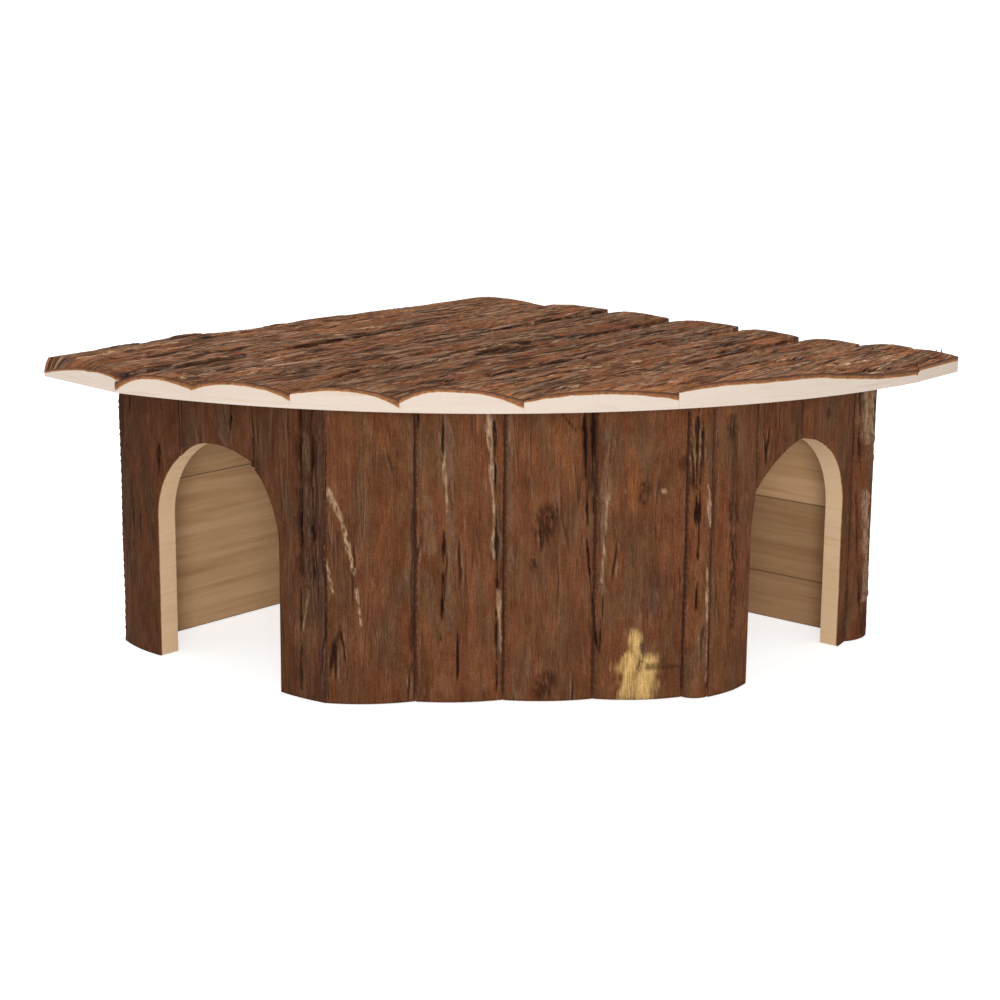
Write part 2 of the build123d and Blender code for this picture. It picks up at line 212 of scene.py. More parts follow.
def feature_share(kind, start, end, width, across, along, seed):
    """How far each point lies inside a mark or ridge that runs between two places, with a ragged edge."""
    run = np.array(end, float) - np.array(start, float)
    length = max(float(np.hypot(*run)), 1e-6)
    share = ((across - start[0]) * run[0] + (along - start[1]) * run[1]) / length**2
    share = np.clip(share, 0.0, 1.0)
    fibres = noise(across / 0.9, along / 6, seed + 13)
    crumbs = noise(across / 1.5, along / 2.6, seed + 14)
    bend = min(1.5, 0.4 * width + 0.5) * noise(along / 13, across / 40, seed + 15)
    gap = np.abs(np.hypot(across - start[0] - share * run[0], along - start[1] - share * run[1]) + bend)
    if kind in ("orange", "bare", "purple"):
        clouds = layered(across / 5, along / 9, seed + 12, 3)
        return ramp(1.9 - gap / (width * (1 + 0.6 * clouds).clip(0.3, 2)) + 0.5 * fibres, 0.0, 1.7)
    reach = width * (1 + 0.5 * noise(along / 9, across / 25, seed + 16) + 0.4 * fibres)
    if kind == "crack":
        ends = np.minimum(share, 1 - share) * length
        reach = reach * (0.25 + 0.75 * ramp(ends, 0, 9)) * (0.5 + 0.25 * ramp(crumbs + fibres, -0.6, 0.4))
    inside = ramp(1.3 - gap / np.maximum(reach, 0.2 * width), 0.0, 0.6)
    if kind in ("ridge", "grey", "flake", "strip"):
        inside = inside * (0.3 + 0.7 * ramp(fibres + 0.8 * crumbs, -0.4, 0.3))
    elif kind == "scratch":
        inside = inside * ramp(crumbs, -0.45, -0.05)
    elif kind == "knot":
        speckle = crumbs + 0.7 * noise(across / 0.9, along / 1.3, seed + 17)
        inside = ramp(1.8 - gap / width, 0.0, 1.2) * ramp(speckle, -0.5, 0.0)
    return inside


def bark_surface(across, along, seed, skew, rough, features):
    """Relief and colour of the bark at each point, with painted highlights on its crests and painted shade in
    its hollows and cracks.
    """
    wander = 3.5 * noise(across / 70, along / 140, seed) + 0.9 * noise(across / 18, along / 45, seed + 1)
    wander += 0.7 * noise(across / 7, along / 14, seed + 3)
    line = across - skew * along + wander
    height, field, cracks = bark_relief(line, across, along, seed, rough)
    beside = [bark_relief(line + step, across + step, along, seed, rough)[0] for step in (-1.1, 1.1)]
    hollow = (beside[0] + beside[1]) / 2 - height
    height = height - height.mean()

    run = drawn_out(along, rough)
    patches = layered(line / 6, run / 17, seed + 22, 4)
    washes = (
        (RED, ramp(noise(across / 15, along / 30, seed + 20), -0.35, 0.35)),
        (OLIVE, 0.6 * ramp(noise(line / 11, run / 26, seed + 21), 0.05, 0.5)),
        (ORANGE, 0.12 * ramp(noise(line / 8, run / 16, seed + 24), 0.2, 0.7)),
        (LIGHT, (0.2 + 0.25 * rough) * ramp(patches, 0.05, 0.7)),
        (DARK, 0.2 * ramp(-patches, 0.2, 0.8)),
        (GREY, 0.35 * rough * ramp(field, 0.28, 0.4)),
        (DARK, 0.25 * rough * ramp(-field, 0.25, 0.5)),
        # Painted highlight on the crests and painted shade in the hollows, from how far the relief lies below
        # its neighbours, then painted shade along the cracks
        (PALE, 0.5 * ramp(-hollow, 0.1 + 0.12 * rough, 0.3 + 0.3 * rough)),
        (DARK, (0.8 - 0.2 * rough) * ramp(hollow, 0.06 + 0.12 * rough, 0.22 + 0.28 * rough)),
        (DEEP, 0.9 * np.clip(cracks * 1.2 - 0.2, 0, 1)),
    )
    colour = BROWN
    for wash, share in washes:
        colour = mixed(colour, wash, share)
    for kind, start, end, width, depth in features:
        inside = feature_share(kind, start, end, width, across, along, seed)
        height = height + depth * inside
        mark_colour, cover = MARKS[kind]
        colour = mixed(colour, mark_colour, cover * inside)
    return height, colour


# Slab meshes


def placed(name, data):
    """New object in the scene."""
    made = bpy.data.objects.new(name, data)
    bpy.context.scene.collection.objects.link(made)
    return made


def mesh_arrays(node):
    """Corner places in millimetres and the triangles of a CAD node, with its split corners joined."""
    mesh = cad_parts[node].data
    mesh.calc_loop_triangles()
    places = np.zeros(len(mesh.vertices) * 3, np.float32)
    mesh.vertices.foreach_get("co", places)
    places = places.reshape(-1, 3).astype(float) / MM
    triangles = np.zeros(len(mesh.loop_triangles) * 3, np.int32)
    mesh.loop_triangles.foreach_get("vertices", triangles)
    keys = np.round(places * 500).astype(np.int64)
    _, first, joined = np.unique(keys, axis=0, return_index=True, return_inverse=True)
    return places[first], joined.reshape(-1)[triangles].reshape(-1, 3)


def facing(places, triangles, outward, least):
    """Triangles that face outward by more than a share."""
    a, b, c = (places[triangles[:, k]] for k in range(3))
    normals = np.cross(b - a, c - a)
    sizes = np.linalg.norm(normals, axis=1)
    return triangles[((normals @ outward) > least * np.maximum(sizes, 1e-12)) & (sizes > 1e-9)]


def outer_loop(places, triangles, outward):
    """Ordered edge of the surface that faces outward."""
    following = {}
    for corners in facing(places, triangles, outward, 0.5):
        for k in range(3):
            following[(int(corners[k]), int(corners[(k + 1) % 3]))] = True
    border = {start: end for start, end in following if (end, start) not in following}
    loops = []
    while border:
        start, place = next(iter(border.items()))
        del border[start]
        loop = [start]
        while place != start and place in border:
            loop.append(place)
            place = border.pop(place)
        loops.append(loop)
    return places[max(loops, key=lambda item: np.ptp(places[item], axis=0).sum())]


def divided(loop, step):
    """Closed loop with no stretch longer than a step."""
    points = []
    for start, end in zip(loop, np.roll(loop, -1, axis=0)):
        count = max(1, int(math.ceil(np.linalg.norm(end - start) / step)))
        points += [start + (end - start) * k / count for k in range(count)]
    return np.array(points)


def inside_loop(points, loop):
    """Which points lie inside a closed loop of the plane."""
    held = np.zeros(len(points), bool)
    for start, end in zip(loop, np.roll(loop, -1, axis=0)):
        if start[1] == end[1]:
            continue
        crosses = (points[:, 1] > min(start[1], end[1])) & (points[:, 1] <= max(start[1], end[1]))
        where = start[0] + (points[:, 1] - start[1]) / (end[1] - start[1]) * (end[0] - start[0])
        held ^= crosses & (points[:, 0] < where)
    return held


def distance_to(points, targets):
    """Distance from each point of the plane to the nearest target."""
    if len(targets) == 0:
        return np.full(len(points), 1e3)
    tree = KDTree(len(targets))
    for index, target in enumerate(targets):
        tree.insert((target[0], target[1], 0.0), index)
    tree.balance()
    return np.array([tree.find((point[0], point[1], 0.0))[2] for point in points])


def edge_line(border, on_side, sign):
    """A slab's left or right edge: places along the grain and across it, in order along the grain."""
    centre = 0.5 * (border[:, 0].min() + border[:, 0].max())
    chosen = border[on_side & (sign * (border[:, 0] - centre) > 0)]
    if len(chosen) < 2:
        side_place = sign * (sign * border[:, 0]).max()
        return np.array([0.0, 1.0]), np.full(2, side_place)
    order = np.argsort(chosen[:, 1])
    return chosen[order, 1], chosen[order, 0]


def surface_heights(places, triangles, side, grain, outward, points):
    """Height of the CAD surface over each point of the plane."""
    outer = facing(places, triangles, outward, 0.05)
    tree = BVHTree.FromPolygons([Vector(place) for place in places], outer.tolist())
    middle = points.mean(axis=0)
    top = (places @ outward).max()
    down = Vector(-outward)
    heights = np.full(len(points), top - 1.0)
    for index, point in enumerate(points):
        # A point on the very edge is pulled inwards until its ray meets the surface
        for pull in (0.0, 0.001, 0.004, 0.02, 0.06):
            spot = point + (middle - point) * pull
            hit = tree.ray_cast(Vector(side * spot[0] + grain * spot[1] + outward * (top + RAY_START)), down)
            if hit[0] is not None:
                heights[index] = float(np.dot(np.array(hit[0]), outward))
                break
    return heights


def filled_outline(flat):
    """Points and faces that fill an outline: its finely divided edge first, then a regular grid inside it."""
    squash = np.array([1.0, 1.0 / GRAIN_STRETCH])
    edge = divided(flat * squash, EDGE_STEP)
    count = len(edge)
    low, high = edge.min(axis=0), edge.max(axis=0)
    columns = np.arange(low[0], high[0], ACROSS_STEP)
    rows = np.arange(low[1], high[1], ALONG_STEP / GRAIN_STRETCH)
    grid = np.stack(np.meshgrid(columns, rows, indexing="ij"), axis=-1).reshape(-1, 2)
    grid = grid[inside_loop(grid, edge)]
    grid = grid[distance_to(grid, edge) > 0.5 * ACROSS_STEP]
    ring = [(k, (k + 1) % count) for k in range(count)]
    places = [Vector(point) for point in np.concatenate([edge, grid])]
    made = delaunay_2d_cdt(places, ring, [], 1, 1e-6)
    points = np.array([tuple(point) for point in made[0]]) / squash
    return points, [tuple(face) for face in made[2]], count


def edge_kinds(border, on_roof, glued):
    """Which edge points lie on a joint side, and which on a glued joint; the others are sawn."""
    direction = np.roll(border, -1, axis=0) - np.roll(border, 1, axis=0)
    steep = np.abs(direction[:, 1]) / np.maximum(np.linalg.norm(direction, axis=1), 1e-9)
    if on_roof:
        run = np.hypot(corner_x - border[:, 1], corner_y + border[:, 0])
        on_side = (steep > 0.985) & (run < roof_reach - 0.8) & (border[:, 0] < right_edge)
    else:
        extreme = np.minimum(border[:, 0] - border[:, 0].min(), border[:, 0].max() - border[:, 0])
        on_side = (steep > 0.9995) & (extreme < 0.3)
    hidden = np.zeros(len(border), bool) if glued is None else distance_to(border, glued) < GLUE_REACH
    return on_side, hidden


def near_edges(points, border, on_side, hidden, relief, colour, seed, rough, on_roof):
    """Relief and colour with grooves along the joints, darkened with painted shade, and an orange rim along
    the sawn edges.
    """
    across, along = points[:, 0], points[:, 1]
    side_gap = distance_to(points, border[on_side])
    sawn_gap = distance_to(points, border[~on_side & ~hidden])
    relief = relief * (0.2 + 0.8 * ramp(sawn_gap, 0.0, 5.0))
    groove_width = 1.1 + 0.7 * noise(across / 9, along / 19, seed + 17)
    open_joint = 1.0
    if on_roof:
        open_joint = 0.15 + 0.85 * ramp(noise(across / 60, along / 26, seed + 23), -0.1, 0.4)
    relief -= (1 - ramp(side_gap / groove_width, 0.0, 1.0)) * 0.5 * open_joint
    # Painted shade in the joint grooves, darkest right at the joint
    colour = mixed(colour, DARK, 0.45 * open_joint * (1 - ramp(side_gap / groove_width, 0.1, 1.0)))
    colour = mixed(colour, DEEP, 0.8 * open_joint * (1 - ramp(side_gap, 0.1, 0.6)))
    rim_width = 2.0 + 4.0 * rough
    rim = (1 - ramp(sawn_gap, 0.0, rim_width)) * ramp(noise(across / 9, along / 9, seed + 18), -0.5, 0.4)
    return relief, mixed(colour, ORANGE, (0.15 + 0.25 * rough) * rim)


def side_shifts(border, on_side, hidden, joint, seed, on_roof):
    """Shifts of the edge across the grain: of its ragged bark, and of the sides below that close a joint."""
    centre = 0.5 * (border[:, 0].min() + border[:, 0].max())
    inward = np.sign(centre - border[:, 0])
    ragged = 0.25 + 0.3 * noise(border[:, 1] / 6, border[:, 0] / 6, seed + 19)
    ragged += 0.25 * noise(border[:, 1] / 1.9, border[:, 0] / 6, seed + 20)
    least = 0
    if on_roof:
        ragged = 0.7 * ragged - 0.25
        least = -joint
    by_side = on_side | np.roll(on_side, 1) | np.roll(on_side, -1)
    below = np.where(by_side, -inward * joint, 0)
    below = np.where(hidden, -inward * GLUED_JOINT, below)
    above = np.where(on_side, inward * np.clip(ragged, least, 0.8), 0)
    return np.where(hidden, below, above), below


def cut_bark_thickness(border, on_side, bands):
    """Thickness of the cut bark around the edge."""
    left_band, crown_band, right_band = bands
    band = np.full(len(border), crown_band)
    for sign, side_band in ((-1, left_band), (1, right_band)):
        gap = np.abs(border[:, 0] - np.interp(border[:, 1], *edge_line(border, on_side, sign)))
        band += (side_band - crown_band) * np.clip(1 - gap / BAND_REACH, 0, 1) ** 2
    return band


def edge_rings(border, heights, floor_height, band, shift, limits, inside_joint):
    """Rings down the edge to the flat inner face: places across, heights, and depths in layers of bark."""
    thickness = heights - floor_height
    moved = border[:, 0] + shift
    target = np.clip(moved, *limits)
    rings = []
    for layers in (0.5, 1.0, None):
        depth = thickness if layers is None else np.minimum(layers * band, thickness * (0.6 + 0.2 * layers))
        ring_across = moved + (target - moved) * depth / thickness
        # Sides inside a joint take depth 0, so the cut-wood material gives them its painted shade
        layer_place = INNER_FACE if layers is None else np.where(inside_joint, 0.0, layers)
        rings.append((ring_across, heights - depth, np.full(len(border), layer_place)))
    return rings


def edge_faces(starts, count, forward):
    """Faces between the rings, and the one that closes the inner face."""
    strip = []
    for upper, lower in zip(starts[:-1], starts[1:]):
        for k in range(count):
            following = (k + 1) % count
            quad = (upper + k, lower + k, lower + following, upper + following)
            strip.append(quad if forward else quad[::-1])
    bottom = tuple(starts[-1] + k for k in range(count))
    return strip + [bottom[::-1] if forward else bottom]


def store(mesh, name, kind, field, values):
    """One value of an attribute for each point of a mesh."""
    layer = mesh.attributes.new(name, kind, "POINT")
    layer.data.foreach_set(field, values.astype(np.float32).reshape(-1))


def slab_piece(node, outward, grain, seed, tone, joint, bands, skew, features, on_roof=False, glued=None):
    """Bark slab in place of a CAD node: displaced bark outside, cut wood at its edges and inside.

    The bands give the cut bark's thickness at the slab's left edge, crown and right edge. Glued is the
    outline of a neighbour whose joint doesn't show.
    """
    places, triangles = mesh_arrays(node)
    outward = np.array(outward, float)
    grain = np.array(grain, float)
    side = np.cross(grain, outward)
    rough = ROOF_ROUGH if on_roof else WALL_ROUGH
    loop = outer_loop(places, triangles, outward)
    points, faces, count = filled_outline(np.stack([loop @ side, loop @ grain], axis=1))
    across, along = points[:, 0], points[:, 1]
    border = points[:count]
    on_side, hidden = edge_kinds(border, on_roof, glued)
    inside_joint = hidden | (on_side & np.roll(on_side, 1) & np.roll(on_side, -1))

    # Bark surface
    relief, colour = bark_surface(across, along, seed, skew, rough, features)
    relief, colour = near_edges(points, border, on_side, hidden, relief, colour, seed, rough, on_roof)
    colour = colour * tone * WARMTH
    surface = surface_heights(places, triangles, side, grain, outward, points) + relief
    if on_roof:
        surface = np.minimum(surface + roof_lift(across, along), roof_top)
    out_height = places @ outward
    floor_height = out_height.min()
    surface = np.maximum(surface, floor_height + LEAST_THICKNESS)

    # Bark points, then the rings down the edge
    def in_space(across_grain, along_grain, height):
        return np.outer(across_grain, side) + np.outer(along_grain, grain) + np.outer(height, outward)

    top_shift, shift = side_shifts(border, on_side, hidden, joint, seed, on_roof)
    top_across = across.copy()
    top_across[:count] += top_shift
    inner = places[out_height < floor_height + 0.01] @ side
    limits = (inner.min() - joint, inner.max() + joint)
    band = cut_bark_thickness(border, on_side, bands)
    blocks = [in_space(top_across, along, surface)]
    depths = [np.zeros(len(points))]
    starts = [0]
    rings = edge_rings(border, surface[:count], floor_height, band, shift, limits, inside_joint)
    for ring_across, ring_height, depth in rings:
        starts.append(sum(len(block) for block in blocks))
        blocks.append(in_space(ring_across, along[:count], ring_height))
        depths.append(depth)
    vertices = np.clip(np.concatenate(blocks) * MM, cad_low, cad_high)

    # Faces, turned outwards
    handed = np.dot(np.cross(side, grain), outward)
    turning = border[:, 0] * np.roll(border[:, 1], -1) - np.roll(border[:, 0], -1) * border[:, 1]
    first = points[list(faces[0])]
    (ax, ay), (bx, by) = first[1] - first[0], first[2] - first[0]
    if (ax * by - ay * bx) * handed < 0:
        faces = [face[::-1] for face in faces]
    mesh = bpy.data.meshes.new(node)
    mesh.from_pydata(vertices.tolist(), [], faces + edge_faces(starts, count, turning.sum() * handed > 0))
    is_bark = np.arange(len(mesh.polygons)) < len(faces)
    if on_roof:
        is_bark[len(faces) : len(faces) + count] = inside_joint & np.roll(inside_joint, -1)
    mesh.polygons.foreach_set("material_index", np.where(is_bark, 0, 1).astype(np.int32))
    mesh.polygons.foreach_set("use_smooth", is_bark)
    mesh.materials.append(materials["roof_bark" if on_roof else "wall_bark"])
    mesh.materials.append(materials["fascia_wood" if on_roof else "wall_wood"])

    # Values for the materials
    def down_the_edge(values):
        return np.concatenate([values] + [values[:count]] * len(rings))

    seeds = np.full(len(vertices), seed * 17.0)
    grain_place = [down_the_edge(across - skew * along), down_the_edge(along), seeds]
    tint = np.concatenate([colour, np.ones((len(points), 1))], axis=1)
    store(mesh, "depth", "FLOAT", "value", np.concatenate(depths))
    store(mesh, "grain", "FLOAT_VECTOR", "vector", np.stack(grain_place, axis=1))
    store(mesh, "tint", "FLOAT_COLOR", "color", down_the_edge(tint))

    piece = placed(f"{node}_bark", mesh)
    clean = bmesh.new()
    clean.from_mesh(mesh)
    bmesh.ops.remove_doubles(clean, verts=clean.verts, dist=2e-6)
    clean.to_mesh(mesh)
    clean.free()
    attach(piece, "root")
    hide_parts(node)


# Materials


class Shader:
    """Short words for building the nodes of a material or of the world."""

    def __init__(self, name, owners=bpy.data.materials):
        self.owner = owners.new(name)
        self.owner.use_nodes = True
        self.tree = self.owner.node_tree
        self.tree.nodes.clear()

    def fill(self, socket, value):
        if isinstance(value, bpy.types.NodeSocket):
            self.tree.links.new(value, socket)
        else:
            socket.default_value = value

    def node(self, kind, inputs=None, **settings):
        made = self.tree.nodes.new(kind)
        for name, value in settings.items():
            setattr(made, name, value)
        for name, value in (inputs or {}).items():
            self.fill(made.inputs[name], value)
        return made

    def attribute(self, name):
        return self.node("ShaderNodeAttribute", attribute_name=name)

    def place(self):
        return self.node("ShaderNodeTexCoord").outputs["Object"]

    def scaled(self, vector, scale, offset=(0, 0, 0)):
        inputs = {"Vector": vector, "Scale": scale, "Location": offset}
        return self.node("ShaderNodeMapping", inputs).outputs[0]

    def noise(self, vector, scale, detail, roughness, distortion=0.0, offset=(0, 0, 0)):
        inputs = {"Vector": self.scaled(vector, scale, offset), "Scale": 1.0, "Detail": detail}
        inputs.update({"Roughness": roughness, "Distortion": distortion})
        return self.node("ShaderNodeTexNoise", inputs).outputs[0]

    def warped(self, vector, scale, amount):
        """Place moved about by noise, by up to a third of the amount."""
        inputs = {"Vector": self.scaled(vector, scale), "Scale": 1.0, "Detail": 3.0}
        drift = self.node("ShaderNodeTexNoise", inputs).outputs["Color"]
        centred = self.vector_math("SUBTRACT", drift, (0.5, 0.5, 0.5))
        return self.vector_math("MULTIPLY_ADD", centred, amount, vector)

    def shaded(self, colour, value, low, high):
        """Colour made darker where a noise is low and lighter where it is high."""
        tones = ((0.3, low), (0.5, 1.0), (0.7, high))
        stops = [(place, (tone, tone**1.25, tone**1.7, 1)) for place, tone in tones]
        return self.mix(1.0, colour, self.ramp(value, stops), "MULTIPLY")

    def ramp(self, value, stops):
        made = self.node("ShaderNodeValToRGB", {"Fac": value})
        ramp_stops = made.color_ramp.elements
        while len(ramp_stops) < len(stops):
            ramp_stops.new(0.5)
        for stop, (place, colour) in zip(ramp_stops, stops):
            stop.position = place
            stop.color = colour
        return made.outputs[0]

    def span(self, value, low, high, start=0.0, end=1.0):
        inputs = {"Value": value, "From Min": low, "From Max": high, "To Min": start, "To Max": end}
        return self.node("ShaderNodeMapRange", inputs).outputs[0]

    def mix(self, factor, first, second, blend="MIX"):
        made = self.node("ShaderNodeMix", data_type="RGBA", blend_type=blend)
        for index, value in ((0, factor), (6, first), (7, second)):
            self.fill(made.inputs[index], value)
        return made.outputs[2]

    def math(self, operation, first, second=0.0):
        return self.joined(self.node("ShaderNodeMath", operation=operation), first, second)

    def vector_math(self, operation, *values):
        return self.joined(self.node("ShaderNodeVectorMath", operation=operation), *values)

    def joined(self, made, *values):
        """Output of a node whose first inputs take the values in their order."""
        for socket, value in zip(made.inputs, values):
            self.fill(socket, value)
        return made.outputs[0]

    def finish(self, colour, roughness, height, bump_distance, strength, specular, metallic=0.0):
        """The material, with a colour, a roughness and a bump."""
        inputs = {"Specular IOR Level": specular, "Metallic": metallic}
        surface = self.node("ShaderNodeBsdfPrincipled", inputs)
        self.fill(surface.inputs["Base Color"], colour)
        self.fill(surface.inputs["Roughness"], roughness)
        inputs = {"Height": height, "Distance": bump_distance, "Strength": strength}
        self.fill(surface.inputs["Normal"], self.node("ShaderNodeBump", inputs).outputs[0])
        self.fill(self.node("ShaderNodeOutputMaterial").inputs[0], surface.outputs[0])
        return self.owner


# Hairline splits: scale across and along the grain, width as a share of the noise, and darkness of the
# painted shade in them
SPLITS = (
    (0.22, 0.009, 0.06, 0.9),
    (0.5, 0.02, 0.08, 0.8),
    (1.2, 0.05, 0.1, 0.7),
)


def bark_material(name, cracked):
    """The tint painted on the mesh, with streaks, fibres, grit and hairline splits too fine for it; the
    splits get painted shade and their lips a painted highlight.
    """
    shader = Shader(name)
    tint = shader.attribute("tint").outputs["Color"]
    grain = shader.attribute("grain").outputs["Vector"]
    grain = shader.warped(grain, (0.08, 0.025, 0.3), (4.0, 0.0, 0.0))
    stretch = 1.2 - 0.8 * cracked
    mottle = shader.noise(grain, (0.2, 0.075 * stretch, 0.37), 5.0, 0.62)
    streaks = shader.noise(grain, (1.0, 0.06 * stretch, 0.31), 4.0, 0.62)
    fibres = shader.noise(grain, (2.6, 0.2 * stretch, 0.43), 4.0, 0.66)
    grit = shader.noise(grain, (2.0, 1.1 - 0.4 * cracked, 0.57), 4.0, 0.7)
    colour = shader.shaded(tint, mottle, 0.86, 1.14)
    colour = shader.shaded(colour, streaks, 0.86 - 0.1 * cracked, 1.14 + 0.12 * cracked)
    colour = shader.shaded(colour, fibres, 0.82 - 0.12 * cracked, 1.18 + 0.18 * cracked)
    colour = shader.shaded(colour, grit, 0.78 - 0.08 * cracked, 1.24 + 0.1 * cracked)

    height = shader.math("MULTIPLY", mottle, 0.8)
    for share, layer in ((0.3, fibres), (0.4, grit), (0.5, streaks)):
        height = shader.math("ADD", height, shader.math("MULTIPLY", layer, share + 0.3 * cracked))
    for across, along, width, strength in SPLITS:
        reach = width * (0.4 + 0.6 * cracked)
        strength *= 0.3 + 0.6 * cracked
        splits = shader.noise(grain, (across, along, 2.3), 1.5, 0.5)
        gate = shader.noise(grain, (0.4 * across, 1.6 * along, 3.1), 2.0, 0.5)
        gate = shader.span(gate, 0.56 - 0.1 * cracked, 0.64 - 0.1 * cracked)
        from_split = shader.math("SUBTRACT", splits, 0.5)
        crack = shader.span(shader.math("ABSOLUTE", from_split), 0.15 * reach, reach, 1.0, 0.0)
        crack = shader.math("MULTIPLY", crack, gate)
        # Painted highlight along the lips beside each split, then painted shade in the split
        lip = shader.span(from_split, reach, 2.2 * reach, 1.0, 0.0)
        lip = shader.math("MULTIPLY", lip, shader.span(from_split, 0.3 * reach, reach))
        lip = shader.math("MULTIPLY", lip, gate)
        colour = shader.mix(shader.math("MULTIPLY", lip, 0.35 * cracked), colour, PALE)
        colour = shader.mix(shader.math("MULTIPLY", crack, strength), colour, SPLIT)
        height = shader.math("SUBTRACT", height, shader.math("MULTIPLY", crack, 0.6 * strength))
        step = shader.math("MULTIPLY", shader.span(from_split, -reach, reach), 0.3 * cracked)
        height = shader.math("ADD", height, step)
    colour = shader.mix(shader.span(grit, 0.66, 0.76, 0.0, 0.45), colour, PALE)
    colour = shader.mix(shader.span(grit, 0.35, 0.26, 0.0, 0.6), colour, DEEP)
    rough = shader.span(fibres, 0.3, 0.7, 0.8, 0.95)
    return shader.finish(colour, rough, height, 0.0009, 0.75, 0.06)


def cut_wood_material(name, light, dark):
    """Sawn wood of the slabs, with a band of bark along its outer edge, darkest next to the bark's outer face
    with painted shade under the overhanging outer bark.
    """
    shader = Shader(name)
    grain = shader.attribute("grain").outputs["Vector"]
    depth = shader.attribute("depth").outputs["Fac"]
    place = shader.place()
    rings = shader.noise(place, (30, 30, 700), 4.0, 0.6, 0.4)
    fibres = shader.noise(place, (700, 700, 2600), 3.0, 0.6)
    blotch = shader.noise(place, (16, 16, 60), 3.0, 0.5)
    wood = shader.ramp(rings, [(0.3, dark), (0.47, light), (0.7, light)])
    wood = shader.mix(shader.span(blotch, 0.4, 0.7, 0.0, 0.4), wood, dark)
    fibre_tone = shader.ramp(fibres, [(0.3, (0.88, 0.84, 0.8, 1)), (0.6, (1, 1, 1, 1))])
    wood = shader.mix(0.3, wood, fibre_tone, "MULTIPLY")
    wander = shader.noise(grain, (0.22, 0.05, 0.3), 3.0, 0.5)
    edge = shader.math("SUBTRACT", depth, shader.span(wander, 0.3, 0.7, -0.08, 0.1))
    band = shader.span(edge, 1.03, 0.93)
    inner_bark = shader.ramp(
        shader.noise(place, (420, 420, 900), 4.0, 0.6),
        [(0.3, shown(112, 66, 38)), (0.5, shown(144, 92, 54)), (0.7, shown(172, 118, 74))],
    )
    # Painted shade under the overhanging outer bark, at the top of the cut bark
    bark = shader.mix(shader.span(edge, 0.6, 0.1), inner_bark, shown(76, 44, 28))
    bark = shader.mix(shader.span(edge, 0.78, 0.95, 0.0, 0.8), bark, shown(222, 184, 134))
    colour = shader.mix(band, wood, bark)
    height = shader.math("ADD", shader.math("MULTIPLY", rings, 0.6), fibres)
    return shader.finish(colour, 0.72, height, 0.0002, 0.35, 0.3)


def board_material(name, along_axis, tone, shift, low, high):
    """Sawn softwood board with the grain along one axis, darker along its lower and upper edges with painted
    shade in the seams between boards.
    """
    shader = Shader(name)
    place = shader.place()
    offset = (shift, shift * 1.7, shift * 0.6)

    def stretched(across, along):
        return tuple(along if axis == along_axis else across for axis in range(3))

    warp = shader.noise(place, stretched(30, 8), 2.0, 0.5, offset=offset)
    moved = shader.vector_math("MULTIPLY_ADD", warp, (0.01, 0.01, 0.01), place)
    bands = shader.noise(moved, stretched(300, 6), 4.0, 0.6, offset=offset)
    figure = shader.noise(moved, stretched(75, 4), 3.0, 0.55, 0.2, offset=offset)
    fine = shader.noise(place, stretched(1500, 28), 3.0, 0.6, offset=offset)
    colour = shader.ramp(
        bands, [(0.28, shown(190, 146, 102)), (0.45, shown(210, 170, 126)), (0.62, shown(220, 182, 138))]
    )
    colour = shader.mix(shader.span(figure, 0.52, 0.68, 0.0, 0.4), colour, shown(176, 130, 88))
    fine_tone = shader.ramp(fine, [(0.3, (0.84, 0.8, 0.74, 1)), (0.6, (1, 1, 1, 1))])
    colour = shader.mix(0.35, colour, fine_tone, "MULTIPLY")
    colour = shader.mix(1.0, colour, (*tone, 1), "MULTIPLY")
    level = shader.node("ShaderNodeSeparateXYZ", {"Vector": place}).outputs["Z"]
    over_low = shader.math("SUBTRACT", level, low)
    from_edge = shader.math("MINIMUM", over_low, shader.math("SUBTRACT", high, level))
    # Painted shade in the seams along the board's lower and upper edges
    colour = shader.mix(shader.span(from_edge, 0.0, 0.0006, 0.8, 0.0), colour, shown(70, 46, 30))
    height = shader.math("ADD", shader.math("MULTIPLY", bands, 0.5), fine)
    return shader.finish(colour, 0.7, height, 0.0002, 0.35, 0.3)


def steel_material():
    """Drawn wire, scratched along its length."""
    shader = Shader("brad_steel")
    place = shader.place()
    scratches = shader.noise(place, (3000, 3000, 400), 3.0, 0.6)
    colour = shader.ramp(scratches, [(0.3, (0.34, 0.34, 0.34, 1)), (0.7, (0.56, 0.56, 0.56, 1))])
    rough = shader.span(scratches, 0.3, 0.7, 0.3, 0.5)
    return shader.finish(colour, rough, scratches, 0.00005, 0.3, 0.5, 1.0)


def shred_material():
    """Dark loose bark."""
    shader = Shader("shred")
    place = shader.place()
    fibres = shader.noise(place, (3000, 3000, 900), 3.0, 0.6)
    colour = shader.ramp(fibres, [(0.3, shown(60, 40, 30)), (0.7, shown(96, 70, 54))])
    return shader.finish(colour, 0.9, fibres, 0.0001, 0.4, 0.2)


materials = {
    "wall_bark": bark_material("wall_bark", 0.25),
    "roof_bark": bark_material("roof_bark", 1.0),
    "fascia_wood": cut_wood_material("fascia_wood", shown(224, 208, 194), shown(216, 194, 174)),
    "wall_wood": cut_wood_material("wall_wood", shown(238, 204, 164), shown(228, 190, 148)),
    "brad_steel": steel_material(),
    "shred": shred_material(),
}

